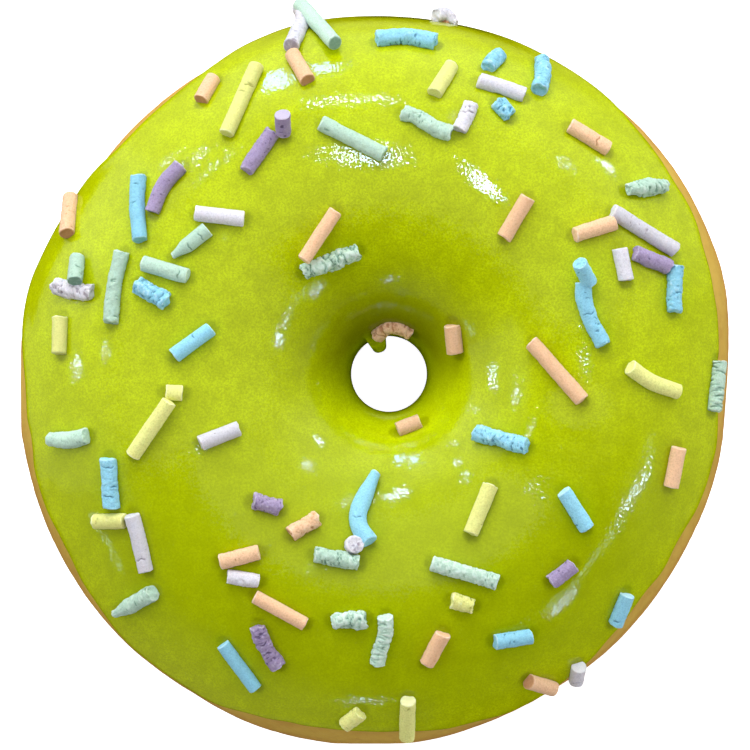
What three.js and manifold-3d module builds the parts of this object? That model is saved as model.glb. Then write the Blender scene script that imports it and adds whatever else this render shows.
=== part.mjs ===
// A sprinkle frosted doughnut: a fried ring of dough, flat where it rests, and a coat of icing over its top that
// runs down its sides and into the hole. The sprinkles have set in the icing, so they are one solid with it.
//
// Millimetres. +Z is up, the ring rests on z = 0, and the origin is under the middle of the whole thing.

import * as THREE from "three";
import { mergeVertices } from "three/addons/utils/BufferGeometryUtils.js";
import Module from "manifold-3d";

// ---- Driving dimensions ----

// The outline seen from above: the radius every 15 degrees, anticlockwise from +X, about the ring's middle.
const RIM_RADII = [
  44.2, 45.4, 45.7, 45.9, 45.9, 45.4, 45.5, 45.3, 44.5, 43.7, 43.9, 44.9,
  44.4, 44.6, 44.8, 45.1, 45.1, 45.5, 45.6, 45.0, 44.7, 44.2, 44.0, 44.1,
];
const RING_MIDDLE = new THREE.Vector2(0, -1.19);
const HOLE_MIDDLE = new THREE.Vector2(1.75, 0.75).add(RING_MIDDLE);
const HOLE_RADIUS = 4.75;

const WAIST_HEIGHT = 14.5; // from the table to where the ring is widest
const CROWN_RISE = 15.8; // from the waist up to the top of the dough
const BELLY_DROP = 17; // from the waist down to the bottom, before the dough settled flat
const SETTLED = 1.5; // how softly the side turns into the flat underside
const FULLNESS = 2.15; // 2 is an ellipse, and more is squarer

const ICING_ON_TOP = 1.5; // from the dough to the icing's outer face
const ICING_ON_SIDES = 1.05;
const GAP_SHARE = 0.3; // of that, between the dough and the icing's inner face

// Where the icing's outer edge lies, every 15 degrees: its angle on the ring's section, above the waist.
const ICING_EDGES = [
  27, 30, 29, 24, 12, -6, -5, 5, 20, 21, 9, 12,
  25, 26, 24, 13, 5, 25, 27, 8, 3, 21, 27, 24,
];
const BARE = { from: 4, to: 26 }; // the edge's angle as the dough beside it comes to stand as far out as the icing
const HOLE_EDGE = { middle: 207, wave: 5, waves: 3, start: 1 }; // the angle of the icing's edge inside the hole
const LIP = 3; // degrees that the edge's rounded lip takes

const SPRINKLE_RADIUS = 0.97;
const SPRINKLE_SINK = 0.5; // how deep it has set in the icing
const STEEPEST = 65; // degrees; a sprinkle on the side hangs no steeper than this

// The drop of icing that hangs in the hole.
const DROP = { turn: 109.5, reach: 4.15, width: 1.1, height: 2.3, rise: 1.2 };

// ---- Sprinkles ----

// Places are on a grid of eighths of a millimetre about the ring's middle. Each row is the colour, then the
// points of the sprinkle's middle line seen from above. A row may end with how many millimetres its first and
// last points are lifted off the icing, where it leans on another sprinkle or stands, and with its own width.
const GRID = 1 / 8;
const SPRINKLES = [
  ["peach", [-174, 279], [-161, 302]],
  ["yellow", [-148, 245], [-118, 314]],
  ["purple", [-91, 245], [-92, 264], { lift: [0.2, 3.4] }],
  ["purple", [-128, 208], [-102, 247]],
  ["peach", [-67, 298], [-83, 326]],
  ["lilac", [-84, 333], [-72, 362], [-76, 374]],
  ["mint", [-40, 336], [-75, 377], { lift: [0.2, 1.6] }],
  ["mint", [-54, 256], [-30, 242], [8, 227]],
  ["purple", [-193, 214], [-222, 167]],
  ["blue", [1, 340], [30, 344], [61, 339], { width: 2.1 }],
  ["lilac", [58, 369], [80, 359]],
  ["blue", [112, 312], [125, 326]],
  ["blue", [166, 322], [168, 306], [164, 289]],
  ["yellow", [77, 314], [59, 285]],
  ["lilac", [103, 299], [127, 292], [149, 284]],
  ["blue", [122, 277], [135, 263]],
  ["lilac", [96, 275], [84, 248]],
  ["mint", [28, 265], [43, 259], [60, 251], [78, 245]],
  ["peach", [194, 254], [233, 230]],
  ["mint", [252, 190], [289, 194]],
  ["peach", [-308, 146], [-305, 184]],
  ["blue", [-236, 204], [-237, 174], [-234, 139]],
  ["mint", [-297, 123], [-299, 98], { lift: [0.2, 1.8] }],
  ["lilac", [-318, 94], [-300, 88], [-282, 89]],
  ["mint", [-252, 128], [-260, 90], [-263, 57]],
  ["mint", [-231, 116], [-186, 103]],
  ["blue", [-237, 96], [-207, 77], { width: 2.1 }],
  ["yellow", [-314, 63], [-315, 26]],
  ["mint", [-201, 123], [-166, 150]],
  ["blue", [-200, 24], [-163, 51]],
  ["lilac", [-179, 166], [-130, 160]],
  ["peach", [-71, 119], [-39, 168], { lift: [1.5, 0], width: 1.75 }],
  ["mint", [-71, 107], [-45, 117], [-18, 128]],
  ["peach", [-1, 48], [18, 54], [37, 47], { width: 1.7 }],
  ["peach", [75, 56], [80, 25]],
  ["peach", [152, 182], [128, 141]],
  ["peach", [155, 38], [206, -20]],
  ["peach", [198, 144], [239, 157]],
  ["lilac", [236, 168], [300, 129]],
  ["lilac", [243, 131], [250, 99]],
  ["purple", [258, 127], [293, 112]],
  ["blue", [299, 114], [298, 68]],
  ["blue", [213, 97], [203, 116], { lift: [0.3, 2.9] }],
  ["blue", [207, 97], [208, 78], [215, 58], [227, 35]],
  ["yellow", [253, 13], [275, -2], [303, -12]],
  ["mint", [344, 19], [339, -31]],
  ["mint", [-325, -59], [-305, -60], [-287, -56]],
  ["yellow", [-241, -75], [-204, -21], { lift: [0, 0.9] }],
  ["yellow", [-208, -12], [-191, -13]],
  ["blue", [-266, -78], [-262, -128], { width: 2.1 }],
  ["yellow", [-279, -141], [-249, -140]],
  ["lilac", [-242, -134], [-235, -160], [-228, -191]],
  ["lilac", [-174, -63], [-135, -48]],
  ["purple", [-121, -120], [-94, -127], { width: 2.05 }],
  ["peach", [-88, -153], [-54, -138], { width: 1.75 }],
  ["blue", [0, -92], [-17, -125], [-18, -140], [-5, -162]],
  ["lilac", [-28, -166], [-11, -162], { lift: [0.2, 0.8], width: 1.6 }],
  ["mint", [-60, -173], [-16, -182]],
  ["peach", [-154, -181], [-115, -171]],
  ["peach", [22, -50], [45, -41]],
  ["blue", [99, -52], [151, -66], { width: 2 }],
  ["yellow", [115, -104], [95, -153]],
  ["blue", [187, -110], [211, -148]],
  ["peach", [303, -67], [295, -107]],
  ["purple", [175, -201], [198, -184]],
  ["mint", [-261, -234], [-240, -223], [-221, -212]],
  ["lilac", [-147, -195], [-115, -200], { width: 1.75 }],
  ["peach", [-120, -215], [-69, -243], { width: 1.75 }],
  ["purple", [-117, -245], [-109, -265], [-96, -286]],
  ["blue", [-152, -263], [-119, -308], { width: 1.75 }],
  ["mint", [-43, -240], [-9, -238]],
  ["mint", [10, -235], [11, -250], [5, -268], [2, -283]],
  ["yellow", [-31, -345], [-14, -332]],
  ["mint", [56, -182], [122, -201]],
  ["yellow", [76, -219], [98, -225]],
  ["peach", [68, -252], [51, -283]],
  ["blue", [119, -261], [156, -255]],
  ["yellow", [33, -319], [32, -358]],
  ["peach", [153, -301], [179, -309]],
  ["blue", [252, -214], [240, -244]],
  ["lilac", [204, -286], [201, -302]],
];

// ---- How finely each solid is cut into facets ----

const COLUMNS = 64; // round the ring
const DOUGH_ROWS = 24;
const EDGE_ROWS = 3; // on each face of the icing, from its outer edge to the rows that it shares with the dough
const SPRINKLE_SIDES = 6;
const UNEVENNESS = 0.07; // of a sprinkle's radius
const HALVINGS = 40; // of the range in which a point over the plan is sought
const SMALL_STEP = 0.2; // over which a slope is measured

// ---- The ring's surface ----

const TURN = 2 * Math.PI;

const MID_ICING = (1 + GAP_SHARE) / 2;

// The climbs, from low on the shoulder to the hole, where the icing's faces follow the dough's facets.
const SHARED_ROWS = [3, 4, 5, 6, 7, 8, 9, 10, 11, 12, 13].map((row) => (TURN * row) / DOUGH_ROWS);

/** A value between stations that are evenly spaced round the ring, on a smooth closed curve. */
function around(stations, turn) {
  const count = stations.length;
  const place = (((turn / TURN) * count) % count + count) % count;
  const first = Math.floor(place);
  const t = place - first;
  const [a, b, c, d] = [-1, 0, 1, 2].map((step) => stations[(first + step + count) % count]);
  return b + 0.5 * t * (c - a + t * (2 * a - 5 * b + 4 * c - d + t * (3 * (b - c) + d - a)));
}

/** The dough's outer radius: the whole outline where the icing stops above the waist, less where it covers it. */
function doughRadius(turn) {
  const bare = THREE.MathUtils.smoothstep(around(ICING_EDGES, turn), BARE.from, BARE.to);
  return around(RIM_RADII, turn) - ICING_ON_SIDES * (1 - bare);
}

/** A circle of radius 1, a little squared, as [across, up] at an angle on the section. */
function fullCircle(climb) {
  const bulge = (value) => Math.sign(value) * Math.abs(value) ** (2 / FULLNESS);
  return [bulge(Math.cos(climb)), bulge(Math.sin(climb))];
}

/** Lets what would hang below the table settle onto it. */
function settle(z) {
  if (z >= SETTLED) return z;
  return z <= -SETTLED ? 0 : (z + SETTLED) ** 2 / (4 * SETTLED);
}

/**
 * A point of the ring's surface. The section at each turn runs from the hole to the outline: climb is 0 at the
 * outline, a quarter turn at the crown and a half turn in the hole. The dough is at coat 0 and the icing's outer
 * face at coat 1, and swell is how far outside that face the point lies.
 */
function skin(turn, climb, coat, swell = 0) {
  const [across, up] = fullCircle(climb);
  const out = new THREE.Vector2(Math.cos(turn), Math.sin(turn));
  const inner = out.clone().multiplyScalar(HOLE_RADIUS + ICING_ON_SIDES).add(HOLE_MIDDLE);
  const outer = out.clone().multiplyScalar(doughRadius(turn)).add(RING_MIDDLE);
  const plan = inner.clone().lerp(outer, (1 + across) / 2);
  plan.addScaledVector(out, across * (coat * ICING_ON_SIDES + swell));
  const rise = up > 0 ? CROWN_RISE + coat * ICING_ON_TOP : BELLY_DROP + coat * ICING_ON_SIDES;
  return new THREE.Vector3(plan.x, plan.y, settle(WAIST_HEIGHT + up * (rise + swell)));
}

/** The point of the icing's upper side, or of a surface that far outside it, over a point of the plan. */
function pointAbove(x, y, swell) {
  let [climb, turn] = [0, 0];
  let low = 0;
  let high = Math.PI;
  for (let halving = 0; halving < HALVINGS; halving += 1) {
    climb = (low + high) / 2;
    const share = (1 + fullCircle(climb)[0]) / 2;
    const middle = HOLE_MIDDLE.clone().lerp(RING_MIDDLE, share);
    turn = Math.atan2(y - middle.y, x - middle.x);
    const here = skin(turn, climb, 1, swell);
    const reach = Math.hypot(here.x - middle.x, here.y - middle.y);
    if (reach > Math.hypot(x - middle.x, y - middle.y)) low = climb;
    else high = climb;
  }
  return skin(turn, climb, 1, swell);
}

/** How steeply that surface falls, as the change in height for a step along x and along y. */
function slopeAt(x, y, swell) {
  const heightAt = (px, py) => pointAbove(px, py, swell).z;
  const steepest = Math.tan(THREE.MathUtils.degToRad(STEEPEST));
  return new THREE.Vector2(
    (heightAt(x + SMALL_STEP, y) - heightAt(x - SMALL_STEP, y)) / (2 * SMALL_STEP),
    (heightAt(x, y + SMALL_STEP) - heightAt(x, y - SMALL_STEP)) / (2 * SMALL_STEP),
  ).clampLength(0, steepest);
}

// ---- Solids ----

function meshOf(points, index) {
  const geometry = new THREE.BufferGeometry().setFromPoints(points);
  geometry.setIndex(index);
  return geometry;
}

/** A closed mesh from rows of points: each row is a closed loop, and the last row joins the first. */
function closedRing(rows) {
  const loop = rows[0].length;
  const index = [];
  rows.forEach((row, r) => {
    const next = (r + 1) % rows.length;
    row.forEach((point, p) => {
      const after = (p + 1) % loop;
      const [a, b] = [r * loop + p, next * loop + p];
      const [c, d] = [next * loop + after, r * loop + after];
      index.push(a, b, c, a, c, d);
    });
  });
  return meshOf(rows.flat(), index);
}

/** The whole ring, bare or with some share of the icing's thickness all over. */
function ringGeometry(coat) {
  const sections = [];
  for (let column = 0; column < COLUMNS; column += 1) {
    const turn = (TURN * column) / COLUMNS;
    const section = [];
    for (let row = 0; row < DOUGH_ROWS; row += 1) section.push(skin(turn, (TURN * row) / DOUGH_ROWS, coat));
    sections.push(section);
  }
  return closedRing(sections);
}

/** The coat of icing: along its outer face from the side into the hole, round its lip, and back underneath. */
function coatGeometry() {
  const lip = THREE.MathUtils.degToRad(LIP);
  const sections = [];
  for (let column = 0; column < COLUMNS; column += 1) {
    const turn = (TURN * column) / COLUMNS;
    const first = THREE.MathUtils.degToRad(around(ICING_EDGES, turn));
    const wave = HOLE_EDGE.wave * Math.sin(HOLE_EDGE.waves * turn + HOLE_EDGE.start);
    const last = THREE.MathUtils.degToRad(HOLE_EDGE.middle + wave);
    const climbs = [];
    for (let row = 0; row < EDGE_ROWS; row += 1) {
      climbs.push(THREE.MathUtils.lerp(first + lip, SHARED_ROWS[0], row / EDGE_ROWS));
    }
    climbs.push(...SHARED_ROWS, last - lip);
    sections.push([
      skin(turn, first, MID_ICING),
      ...climbs.map((climb) => skin(turn, climb, 1)),
      skin(turn, last, MID_ICING),
      ...climbs.reverse().map((climb) => skin(turn, climb, GAP_SHARE)),
    ]);
  }
  return closedRing(sections);
}

/** A rod along a line of points, with flat ends, uneven in its girth. */
function rodGeometry(line, radius, random) {
  const points = [];
  const index = [];
  const roll = TURN * random();
  line.forEach((point, p) => {
    const along = line[Math.min(p + 1, line.length - 1)].clone().sub(line[Math.max(p - 1, 0)]).normalize();
    const side = new THREE.Vector3(0, 0, 1).cross(along).normalize();
    const over = along.clone().cross(side);
    for (let corner = 0; corner < SPRINKLE_SIDES; corner += 1) {
      const angle = roll + (TURN * corner) / SPRINKLE_SIDES;
      const reach = radius * (1 + UNEVENNESS * (2 * random() - 1));
      points.push(point.clone()
        .addScaledVector(side, reach * Math.cos(angle))
        .addScaledVector(over, reach * Math.sin(angle)));
    }
  });
  const last = (line.length - 1) * SPRINKLE_SIDES;
  for (let corner = 0; corner < SPRINKLE_SIDES; corner += 1) {
    const after = (corner + 1) % SPRINKLE_SIDES;
    for (let ring = 0; ring < last; ring += SPRINKLE_SIDES) {
      const [a, b] = [ring + corner, ring + after];
      index.push(a, b, b + SPRINKLE_SIDES, a, b + SPRINKLE_SIDES, a + SPRINKLE_SIDES);
    }
    if (corner > 0 && corner < SPRINKLE_SIDES - 1) {
      index.push(0, after, corner, last, last + corner, last + after);
    }
  }
  return meshOf(points, index);
}

/** The middle line of a sprinkle: flat on the icing at its middle, straight on from there, then lifted. */
function sprinkleLine(row) {
  const options = row.find((item) => item.constructor === Object) ?? {};
  const places = row.filter(Array.isArray);
  const plan = places.map(([x, y]) => new THREE.Vector2(x, y).multiplyScalar(GRID).add(RING_MIDDLE));
  const radius = (options.width ?? 2 * SPRINKLE_RADIUS) / 2;
  const swell = radius - SPRINKLE_SINK;
  const last = plan.length - 1;
  const middle = plan[0].clone().lerp(plan[last], 0.5);
  const seat = pointAbove(middle.x, middle.y, swell);
  const slope = slopeAt(middle.x, middle.y, swell);
  const [liftFirst, liftLast] = options.lift ?? [0, 0];
  const whole = plan[last].distanceTo(plan[0]);
  const line = plan.map((point) => {
    const share = point.distanceTo(plan[0]) / whole;
    const lift = THREE.MathUtils.lerp(liftFirst, liftLast, Math.min(share, 1));
    const away = point.clone().sub(middle);
    return new THREE.Vector3(away.x, away.y, slope.dot(away) + lift).add(seat);
  });
  if (line.length === 2) line.splice(1, 0, line[0].clone().lerp(line[1], 0.5));
  return [line, radius];
}

/** Seeded numbers from 0 to 1, so that the sprinkles are the same each time. */
function seededRandom(seed) {
  let state = seed;
  return () => {
    state = (Math.imul(state, 1664525) + 1013904223) >>> 0;
    return state / 2 ** 32;
  };
}

// ---- Joining ----

const wasm = await Module();
wasm.setup();

function solidOf(geometry) {
  const bare = geometry.clone();
  bare.deleteAttribute("normal");
  bare.deleteAttribute("uv");
  const merged = mergeVertices(bare, 1e-4);
  return new wasm.Manifold(new wasm.Mesh({
    numProp: 3,
    vertProperties: new Float32Array(merged.attributes.position.array),
    triVerts: new Uint32Array(merged.index.array),
  }));
}

function geometryOf(solid) {
  const mesh = solid.getMesh();
  const geometry = new THREE.BufferGeometry();
  geometry.setAttribute("position", new THREE.BufferAttribute(new Float32Array(mesh.vertProperties), 3));
  geometry.setIndex(new THREE.BufferAttribute(new Uint32Array(mesh.triVerts), 1));
  return geometry;
}

/** The drop that hangs from the icing inside the hole. */
function dropGeometry() {
  const turn = THREE.MathUtils.degToRad(DROP.turn);
  const drop = new THREE.SphereGeometry(1, 10, 8);
  drop.rotateX(Math.PI / 2);
  drop.scale(DROP.width, DROP.width, DROP.height);
  drop.translate(
    HOLE_MIDDLE.x + DROP.reach * Math.cos(turn),
    HOLE_MIDDLE.y + DROP.reach * Math.sin(turn),
    WAIST_HEIGHT + DROP.rise,
  );
  return drop;
}

function icingGeometry() {
  const random = seededRandom(7);
  let loose = solidOf(dropGeometry());
  for (const row of SPRINKLES) {
    const [line, radius] = sprinkleLine(row);
    loose = loose.add(solidOf(rodGeometry(line, radius, random)));
  }
  const clearOfDough = loose.subtract(solidOf(ringGeometry(MID_ICING)));
  return geometryOf(solidOf(coatGeometry()).add(clearOfDough));
}

// ---- The doughnut ----

function part(name, geometry, color, roughness) {
  geometry.computeVertexNormals();
  const material = new THREE.MeshStandardMaterial({ color, roughness, metalness: 0, flatShading: true });
  const mesh = new THREE.Mesh(geometry, material);
  mesh.name = name;
  return mesh;
}

const group = new THREE.Group();
group.add(part("dough", ringGeometry(0), 0xcf9447, 0.8));
group.add(part("icing", icingGeometry(), 0xb4c81e, 0.25));

export default group;
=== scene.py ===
import math

import bpy
import numpy as np
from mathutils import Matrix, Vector


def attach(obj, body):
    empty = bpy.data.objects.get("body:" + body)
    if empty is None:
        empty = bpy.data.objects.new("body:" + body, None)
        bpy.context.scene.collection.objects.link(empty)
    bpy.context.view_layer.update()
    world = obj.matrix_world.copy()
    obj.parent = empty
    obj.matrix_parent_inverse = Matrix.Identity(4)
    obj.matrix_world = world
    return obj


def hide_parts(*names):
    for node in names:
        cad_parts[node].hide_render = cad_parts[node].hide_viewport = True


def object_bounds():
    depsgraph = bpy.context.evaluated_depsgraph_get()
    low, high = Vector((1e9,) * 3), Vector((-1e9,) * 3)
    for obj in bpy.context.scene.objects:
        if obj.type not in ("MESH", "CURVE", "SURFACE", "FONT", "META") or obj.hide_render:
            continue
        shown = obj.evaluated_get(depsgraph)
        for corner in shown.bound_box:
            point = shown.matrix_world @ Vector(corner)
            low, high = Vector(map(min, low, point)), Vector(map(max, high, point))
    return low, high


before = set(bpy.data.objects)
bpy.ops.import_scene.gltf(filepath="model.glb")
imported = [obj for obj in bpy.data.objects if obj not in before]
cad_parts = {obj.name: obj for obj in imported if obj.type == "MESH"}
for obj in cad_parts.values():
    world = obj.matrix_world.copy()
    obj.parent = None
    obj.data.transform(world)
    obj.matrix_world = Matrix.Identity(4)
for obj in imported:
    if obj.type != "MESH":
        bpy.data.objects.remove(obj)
cad_low, cad_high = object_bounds()

# A sprinkle frosted doughnut: a fried crust, a coat of icing, and sprinkles, one piece for each colour.
# The shapes are worked out in the CAD's own millimetres, and turn into metres where each mesh is made.

MM = 0.001
TURN = 2 * math.pi
RANDOM_SEED = 20

# ---- The ring's form: the CAD's, with its outline and the icing's edge read once more ----

# The outline seen from above: the radius every 15 degrees, anticlockwise from +X, about the ring's middle.
RIM_RADII = [
    44.2, 45.5, 45.9, 46.1, 46.1, 45.8, 45.6, 45.6, 44.5, 44.0, 44.3, 45.1,
    44.8, 45.0, 45.2, 45.7, 45.8, 45.9, 45.9, 45.5, 45.1, 44.7, 44.4, 44.4,
]
RING_MIDDLE = np.array([0, -1.19])
HOLE_MIDDLE = RING_MIDDLE + [1.75, 0.75]
HOLE_RADIUS = 4.75

WAIST_HEIGHT = 14.5  # where the ring is widest
CROWN_RISE = 15.8  # from there up to the crust's top
BELLY_DROP = 17  # and down to its bottom, before it settles onto the table
SETTLED = 1.5  # how far above and below the table's level it settles
FULLNESS = 2.15  # the power of the section's curve: 2 is a circle, and more is squarer
CREST = 0.16  # how much more sharply than that curve the top rounds over

ICING_ON_TOP = 1.5
ICING_ON_SIDES = 1.05

# Where the icing's outer edge lies, every 15 degrees: its angle on the ring's section, above the waist.
ICING_EDGES = [
    28, 29.5, 24.5, 21, 9, -6, -5, 5, 18, 21, 10, 11,
    25, 23.5, 24.5, 19, 18, 27.5, 30, 22, 19, 26, 27.5, 24,
]
BARE = (4, 26)  # the edge's angle as the crust beside it comes to stand as far out as the icing
HOLE_EDGE = {"middle": 207, "wave": 5, "waves": 3, "start": 1}

SPRINKLE_RADIUS = 0.97
SPRINKLE_SINK = 0.5
STEEPEST = 65  # the steepest slope, in degrees, that a sprinkle follows

# The round drop of icing that hangs in the hole: its depth inwards, its width to each side, its climb and
# height in degrees, and the powers of its outline and of how it fades above and below.
DROP = {
    "turn": 109.5, "depth": 1.9, "width": 1.2, "climb": 175, "height": 8,
    "squareness": 2.2, "fall": 2.6, "rounds": 4,
}

# ---- Sprinkles ----

# Places are on a grid of eighths of a millimetre about the ring's middle, as in the CAD. Each row is the
# colour, the points of the sprinkle's middle line seen from above, and how it differs from a plain rod:
#   lift: how far its first and last points are raised, in millimetres
#   level: the share of the icing's slope that it does not follow
#   width: in millimetres
#   rough: how lumpy, pitted and crumpled it is, from 0 to 1
#   sandy: the same, for fine grain and pits only
#   cracks, faced: how many run across it, and the range of angles, in degrees, that they are at
#   rings: 1 where it is wrinkled all along
#   first, last: the share of its girth that is left at that end
#   cap_shade: how much painted shade, or below 0 painted light, its first and last cut faces get from how
#       they face the light
#   tone_shift: the same, all over: above 0 it is painted shade, below 0 a lighter tone
GRID = 1 / 8
SPRINKLES = [
    ["peach", (-174, 279), (-161, 302), {"cap_shade": (0.8, 0)}],
    ["yellow", (-148, 245), (-118, 314), {"cracks": 3}],
    ["purple", (-91, 245), (-92, 264), {"lift": (0.2, 3.4), "sandy": 0.4, "cap_shade": (0, -0.9)}],
    ["purple", (-128, 208), (-102, 247), {"rough": 0.3}],
    ["peach", (-67, 298), (-83, 326), {"cap_shade": (0.8, 0.5)}],
    ["lilac", (-84, 333), (-72, 362), (-76, 374), {"rough": 0.3, "sandy": 0.5, "cap_shade": (0.8, 0)}],
    ["mint", (-40, 336), (-75, 377), {"lift": (0.2, 1.6), "cap_shade": (0.8, 0)}],
    ["mint", (-54, 256), (-27, 242), (9, 224), {"rough": 0.2, "cap_shade": (0, 0.5)}],
    ["purple", (-193, 214), (-211, 193), (-222, 167), {"rough": 0.15, "sandy": 0.3}],
    ["blue", (1, 341), (30, 342.5), (61, 338),
        {"width": 2.1, "rough": 0.3, "cracks": 6, "faced": (110, 175)}],
    ["lilac", (61, 366), (71, 367), (82, 358),
        {"width": 1.8, "rough": 0.3, "last": 0.5, "tone_shift": 0.2, "cracks": 0}],
    ["blue", (112, 312), (125, 326), {"rough": 0.5, "sandy": 0.6}],
    ["blue", (166, 322), (168, 306), (164, 289), {"rough": 0.5, "sandy": 0.6, "cracks": 2}],
    ["yellow", (77, 314), (59, 285), {"rough": 0.1}],
    ["lilac", (103, 299), (127, 292), (149, 284), {"rough": 0.15}],
    ["blue", (122, 277), (135, 263), {"rough": 0.6}],
    ["lilac", (96, 275), (84, 248), {"rough": 0.35, "cracks": 1}],
    ["mint", (27, 266), (41, 262), (57, 252), (76, 245), {"rough": 0.4, "cracks": 0, "last": 1.1}],
    ["peach", (194, 254), (233, 230), {"cracks": 1}],
    ["mint", (252, 190), (289, 194), {"width": 2.1, "rough": 0.6, "first": 0.6, "last": 0.8}],
    ["peach", (-308, 146), (-305, 184), {"sandy": 0.3, "cap_shade": (0.9, 0)}],
    ["blue", (-236, 204), (-237, 174), (-234, 139), {"rough": 0.2, "cracks": 2}],
    ["mint", (-297, 123), (-299, 98), {"lift": (0.2, 1.8), "sandy": 0.5, "cap_shade": (0, 0.8)}],
    ["lilac", (-318, 94), (-300, 88), (-282, 89), {"rough": 0.7}],
    ["mint", (-252, 128), (-260, 90), (-263, 57), {"rough": 0.3}],
    ["mint", (-231, 116), (-186, 103), {"rough": 0.1, "cracks": 1}],
    ["blue", (-237, 96), (-207, 77), {"width": 2.1, "rough": 0.6, "cracks": 2}],
    ["yellow", (-314, 63), (-315, 26), {}],
    ["mint", (-201, 123), (-166, 150), {"cracks": 2, "first": 0.45}],
    ["blue", (-200, 24), (-163, 51), {"cracks": 1}],
    ["lilac", (-179, 166), (-130, 160), {}],
    ["peach", (-71, 119), (-39, 168), {"lift": (1.5, 0), "width": 1.75}],
    ["mint", (-71, 107), (-45, 117), (-18, 128), {"rough": 1, "cracks": 4}],
    ["peach", (2, 44), (11, 52), (23, 53), (36, 47),
        {"level": 0.6, "lift": (0.6, 0.6), "width": 2.0, "rough": 0.5, "sandy": 0.9, "tone_shift": 0.2,
            "cracks": 0}],
    ["peach", (77, 55), (80, 26), {"level": 0.5, "width": 2.1, "sandy": 0.2, "cracks": 0}],
    ["peach", (152, 182), (128, 141), {}],
    ["peach", (155, 38), (206, -20), {}],
    ["peach", (198, 144), (239, 157), {"rough": 0.1}],
    ["lilac", (236, 168), (300, 129), {"rough": 0.15}],
    ["lilac", (243, 131), (250, 99), {}],
    ["purple", (258, 127), (293, 112), {"rough": 0.3}],
    ["blue", (299, 114), (298, 68), {"rough": 0.35, "sandy": 0.5, "cracks": 1}],
    ["blue", (213, 97), (203, 116), {"lift": (0.3, 2.9), "sandy": 0.4}],
    ["blue", (207, 97), (208, 78), (215, 58), (227, 35), {"rough": 0.3, "cracks": 2}],
    ["yellow", (253, 13), (275, -2), (303, -12), {"rough": 0.1}],
    ["mint", (344, 19), (339, -31), {"rough": 0.25, "rings": 1}],
    ["mint", (-325, -59), (-305, -60), (-287, -56), {"width": 2.1, "rough": 0.3, "first": 0.8}],
    ["yellow", (-241, -75), (-204, -21), {"lift": (0, 0.9)}],
    ["yellow", (-208, -12), (-191, -13), {}],
    ["blue", (-266, -78), (-262, -128), {"width": 2.1, "rough": 0.3, "cracks": 3}],
    ["yellow", (-279, -141), (-249, -140), {"rough": 0.2}],
    ["lilac", (-242, -134), (-235, -160), (-228, -191), {"cracks": 1, "sandy": 0.2}],
    ["lilac", (-174, -63), (-135, -48), {}],
    ["purple", (-121, -120), (-94, -127), {"width": 2.05, "rough": 0.45, "sandy": 0.9}],
    ["peach", (-84, -153), (-57, -137), {"width": 1.95, "rough": 0.5, "sandy": 0.6, "cap_shade": (0.5, 0)}],
    ["blue", (1, -92), (-12, -119), (-17, -134), (-15, -147), (-5, -161),
        {"width": 2.2, "first": 0.6, "cracks": 1}],
    ["lilac", (-22, -165), (-19, -163), {"lift": (-0.6, 1.2), "width": 2.2, "rough": 0.4, "sandy": 1}],
    ["mint", (-60, -173), (-16, -182), {"rough": 0.55, "sandy": 0.6, "cracks": 1}],
    ["peach", (-154, -181), (-115, -171), {"sandy": 0.3}],
    ["peach", (22, -50), (45, -41), {"rough": 0.1}],
    ["blue", (99, -52), (151, -66),
        {"width": 2.0, "rough": 0.5, "sandy": 0.6, "cracks": 5, "faced": (60, 175)}],
    ["yellow", (115, -104), (95, -153), {"rough": 0.1}],
    ["blue", (187, -110), (211, -148), {"rough": 0.1, "cracks": 2, "faced": (150, 190), "cap_shade": (-0.5, 0)}],
    ["peach", (303, -67), (295, -107), {}],
    ["purple", (175, -201), (198, -184), {"rough": 0.3}],
    ["mint", (-261, -234), (-240, -223), (-221, -212), {"rough": 0.4, "sandy": 0.8, "first": 0.5}],
    ["lilac", (-147, -195), (-115, -200), {"width": 1.75, "rough": 0.3}],
    ["peach", (-120, -215), (-69, -243), {"width": 1.75}],
    ["purple", (-117, -245), (-109, -265), (-96, -286), {"rough": 0.5, "sandy": 0.4, "cracks": 6}],
    ["blue", (-152, -263), (-119, -308), {"width": 1.75}],
    ["mint", (-43, -240), (-9, -238), {"rough": 0.9, "cracks": 1, "tone_shift": -0.35}],
    ["mint", (10, -235), (11, -250), (5, -268), (2, -283),
        {"rough": 0.35, "sandy": 0.5, "rings": 1, "tone_shift": -0.4}],
    ["yellow", (-31, -345), (-14, -332), {"sandy": 0.5}],
    ["mint", (56, -182), (122, -201), {"rough": 0.2, "sandy": 0.9, "tone_shift": -0.3}],
    ["yellow", (76, -219), (98, -225), {"rough": 0.3, "sandy": 0.9}],
    ["peach", (68, -252), (51, -283), {"rough": 0.15}],
    ["blue", (119, -261), (156, -255), {"rough": 0.15}],
    ["yellow", (33, -319), (32, -358), {"rough": 0.1, "cap_shade": (-0.9, 0)}],
    ["peach", (153, -301), (179, -309), {"cap_shade": (0.8, 0)}],
    ["blue", (252, -214), (240, -244), {"cap_shade": (-0.5, 0)}],
    ["lilac", (204, -286), (201, -302), {"cap_shade": (-0.9, 0)}],
    # A small peach piece under the bent lilac sprinkle at the far edge, dark all over: painted shade in the
    # hollow under that sprinkle.
    ["peach", (65, 361), (75, 359), {"width": 0.9, "rough": 0.5, "tone_shift": 1}],
]

# ---- How finely each mesh is cut ----

CRUST_COLUMNS, CRUST_ROWS = 480, 120
ICING_COLUMNS, ICING_ROWS, ICING_BACK_ROWS = 768, 220, 5
ROD_SIDES = 44
ROD_STEP = 0.09  # between the rings of points along a sprinkle

# ---- Colours, as light on a screen would show them: red, green and blue from 0 to 255 ----

ICING_COLOUR = (199, 215, 3)
ICING_CLOUD = (173, 185, 0)
# Fine grain, and also the painted shade over the top of the near half.
ICING_GRAIN_AND_SHADE = (148, 162, 0)
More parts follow.
